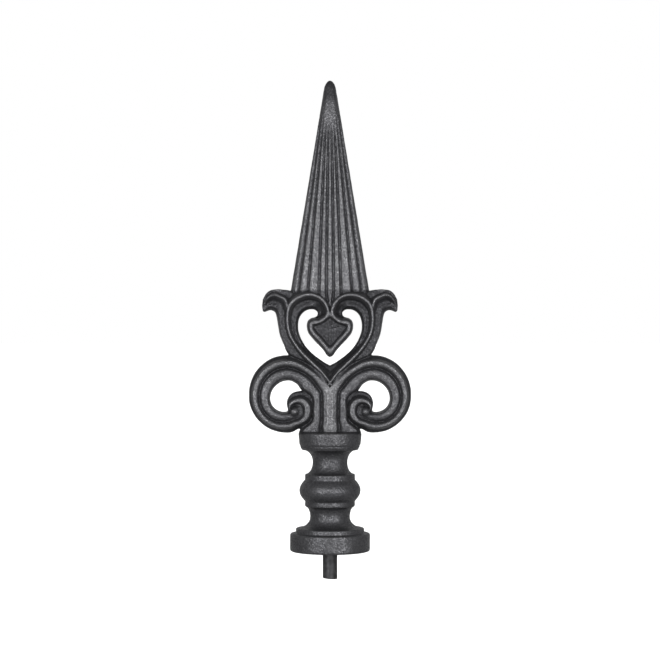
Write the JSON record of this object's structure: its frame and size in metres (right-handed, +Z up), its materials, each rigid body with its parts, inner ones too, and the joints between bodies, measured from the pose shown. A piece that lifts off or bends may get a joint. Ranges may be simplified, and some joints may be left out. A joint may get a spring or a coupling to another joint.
{
  "type": "fence finial",
  "caption": "Cast iron railing head: a reeded spear over a pierced heart, two scrolls and a turned base with a fixing pin.",
  "frame": {"origin": "middle of the seat, the flat underside of the base disc, where the pin leaves it", "axes": "+Z up towards the spear's tip, +X across the width, -Y towards the front"},
  "size_m": [0.1078, 0.0532, 0.3323],
  "materials": {
    "cast_iron": "sand cast, bare dark graphite grey",
    "bar_steel": "dark drawn bar, sheared end"
  },
  "bodies": {
    "root": {"finial_casting": "cast_iron", "fixing_pin": "bar_steel"}
  },
  "joints": []
}
